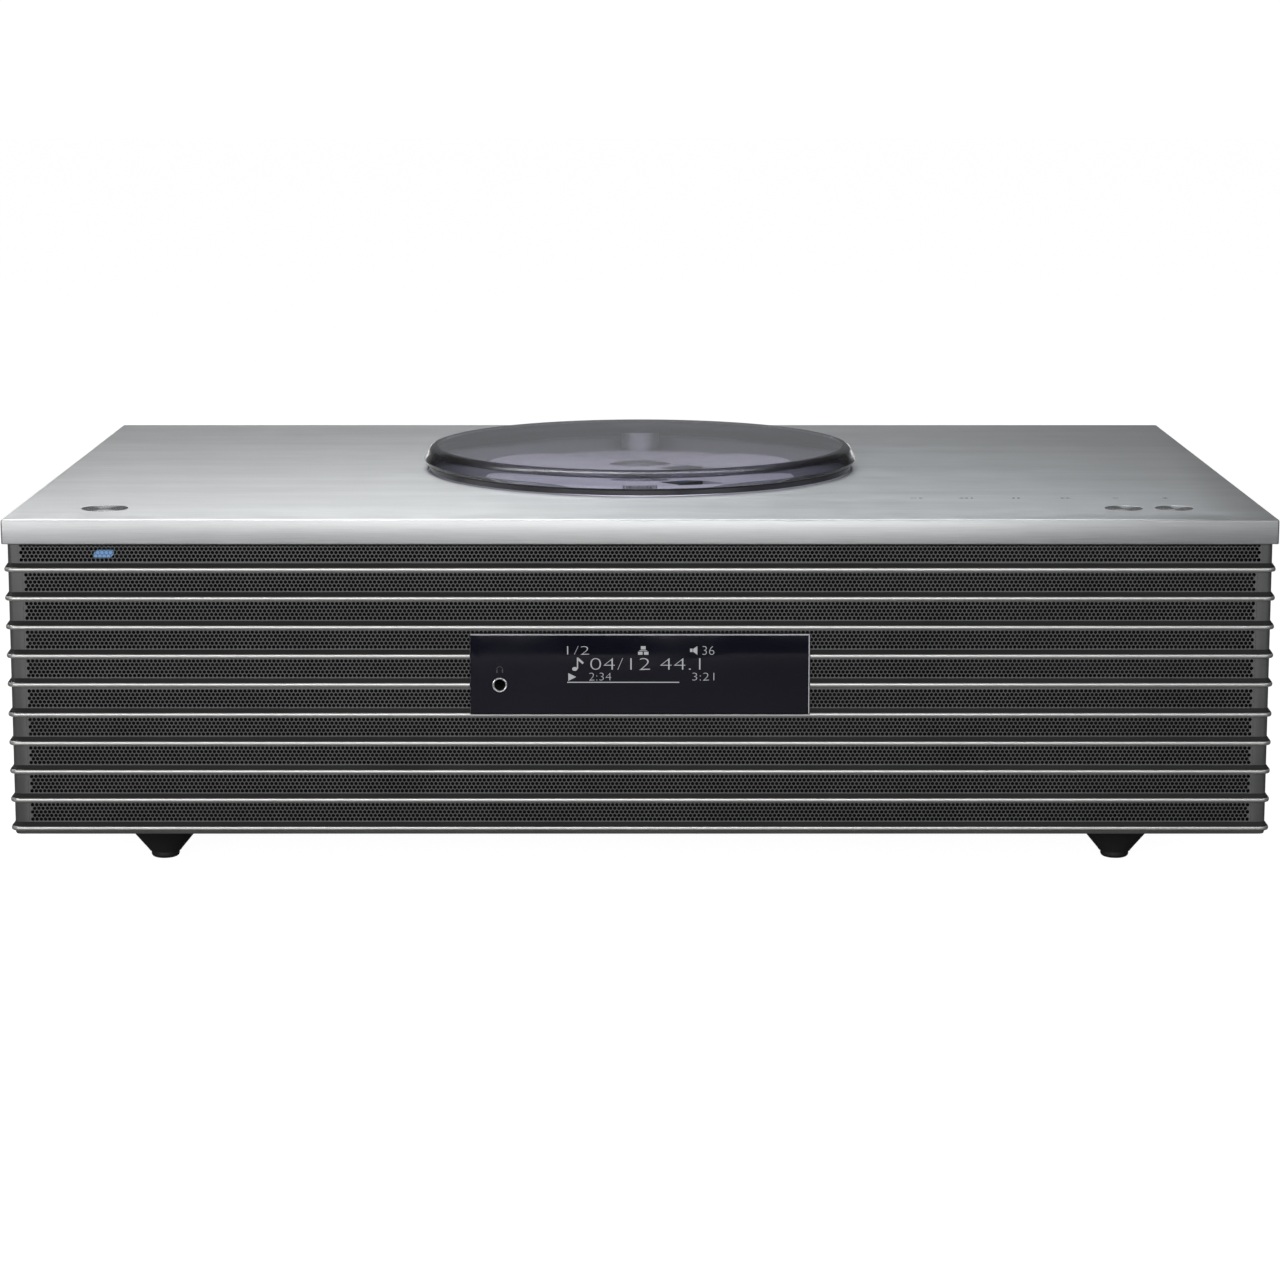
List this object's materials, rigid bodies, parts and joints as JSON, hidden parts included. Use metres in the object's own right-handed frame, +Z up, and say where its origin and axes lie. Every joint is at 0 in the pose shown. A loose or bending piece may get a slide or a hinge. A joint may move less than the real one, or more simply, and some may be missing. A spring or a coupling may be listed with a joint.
{
  "type": "mini hifi system",
  "caption": "Wide desktop all-in-one hifi with a brushed plate top, a round smoked disc lid that swings aside, ribbed perforated front, small display and conical feet.",
  "frame": {"origin": "on the floor under the middle of the top plate's outline", "axes": "+X to the right seen from the front, +Y to the rear, +Z up"},
  "size_m": [0.45, 0.28, 0.143],
  "materials": {
    "brushed_aluminium": "fine straight brushing along the width",
    "turned_aluminium": "spun concentric turning, slightly dished",
    "louvre_metal": "satin dark grey with bright machined rib noses",
    "grille_metal": "satin black perforated sheet",
    "smoked_clear": "smoked clear acrylic, polished",
    "tray_plastic": "semi-gloss grey moulding",
    "polished_metal": "polished",
    "window_gloss": "piano gloss blue-black",
    "screen_glass": "dark display glass",
    "light_guide": "clear blue light guide",
    "black_plastic": "fine spark-eroded texture",
    "black_metal": "black powder coat",
    "rubber_black": "moulded black rubber",
    "steel": "plated sheet steel",
    "board_green": "green solder mask",
    "cone_fibre": "pressed fibre",
    "sink_aluminium": "black anodised",
    "core_steel": "lacquered winding tape",
    "lens_glass": "coated lens",
    "contact_brass": "plated"
  },
  "bodies": {
    "case": {"top_plate": "brushed_aluminium", "louvre_frame": "louvre_metal", "front_grille": "grille_metal", "rear_panel": "black_plastic", "socket_plate": "black_metal", "mains_plate": "black_metal", "base_plate": "black_metal", "display_window": "window_gloss", "display_module": "screen_glass", "front_board": "board_green", "headphone_jack": "polished_metal", "status_light": "light_guide", "lid_bearing": "steel", "disc_tray": "tray_plastic", "switch_board_left": "board_green", "switch_board_right": "board_green", "spindle_motor": "steel", "mech_chassis": "steel", "guide_rail_main": "steel", "guide_rail_side": "steel", "feed_motor": "steel", "isolator_1": "rubber_black", "isolator_2": "rubber_black", "isolator_3": "rubber_black", "speaker_box_left": "black_plastic", "speaker_box_right": "black_plastic", "woofer_frame_left": "black_metal", "woofer_frame_right": "black_metal", "tweeter_left": "cone_fibre", "tweeter_right": "cone_fibre", "subwoofer_box": "black_plastic", "subwoofer_frame": "black_metal", "bass_port": "black_plastic", "main_board": "board_green", "heat_sink": "sink_aluminium", "power_board": "board_green", "transformer": "core_steel", "mains_inlet": "black_plastic", "lan_socket": "black_plastic", "usb_socket": "black_plastic", "optical_socket": "black_plastic", "aux_jack": "black_plastic", "antenna_terminal": "contact_brass", "foot_front_left": "rubber_black", "foot_front_right": "rubber_black", "foot_rear_left": "rubber_black", "foot_rear_right": "rubber_black"},
    "lid": {"lid": "smoked_clear", "lid_flange": "polished_metal", "lid_shaft": "polished_metal"},
    "spindle": {"turntable_hub": "polished_metal"},
    "sled": {"pickup_sled": "black_plastic", "pickup_lens": "lens_glass"},
    "screw": {"feed_screw": "contact_brass"},
    "power_button": {"power_button": "turned_aluminium"},
    "play_button": {"play_button": "turned_aluminium"},
    "select_button": {"select_button": "turned_aluminium"},
    "woofer_left": {"woofer_cone_left": "cone_fibre"},
    "woofer_right": {"woofer_cone_right": "cone_fibre"},
    "subwoofer": {"subwoofer_cone": "cone_fibre"}
  },
  "joints": [
    {"name": "lid_swing", "type": "hinge", "parent": "case", "child": "lid", "pos_m": [0, 0.0682, 0.128], "axis": [0, 0, 1], "range_deg": [0, 120]},
    {"name": "spindle_spin", "type": "hinge", "parent": "case", "child": "spindle", "pos_m": [0, 0, 0.129], "axis": [0, 0, 1], "continuous": true},
    {"name": "pickup_slide", "type": "slide", "parent": "case", "child": "sled", "axis": [0.7071, -0.7071, 0], "range_m": [0, 0.034]},
    {"name": "feed_screw_spin", "type": "hinge", "parent": "case", "child": "screw", "pos_m": [0.02369, 0.01803, 0.1215], "axis": [0.7071, -0.7071, 0], "range_deg": [0, 4081]},
    {"name": "power_button_press", "type": "slide", "parent": "case", "child": "power_button", "axis": [0, 0, -1], "range_m": [0, 0.0008], "stiffness_N_per_m": 700, "springref_m": -0.0005},
    {"name": "play_button_press", "type": "slide", "parent": "case", "child": "play_button", "axis": [0, 0, -1], "range_m": [0, 0.0008], "stiffness_N_per_m": 700, "springref_m": -0.0005},
    {"name": "select_button_press", "type": "slide", "parent": "case", "child": "select_button", "axis": [0, 0, -1], "range_m": [0, 0.0008], "stiffness_N_per_m": 700, "springref_m": -0.0005},
    {"name": "woofer_left_stroke", "type": "slide", "parent": "case", "child": "woofer_left", "axis": [0, -1, 0], "range_m": [-0.003, 0.003], "stiffness_N_per_m": 1200},
    {"name": "woofer_right_stroke", "type": "slide", "parent": "case", "child": "woofer_right", "axis": [0, -1, 0], "range_m": [-0.003, 0.003], "stiffness_N_per_m": 1200},
    {"name": "subwoofer_stroke", "type": "slide", "parent": "case", "child": "subwoofer", "axis": [0, 0, -1], "range_m": [-0.004, 0.004], "stiffness_N_per_m": 3000}
  ],
  "couplings": [
    {"joint": "feed_screw_spin", "follows": "pickup_slide", "rad_per_m": 2094.4}
  ]
}
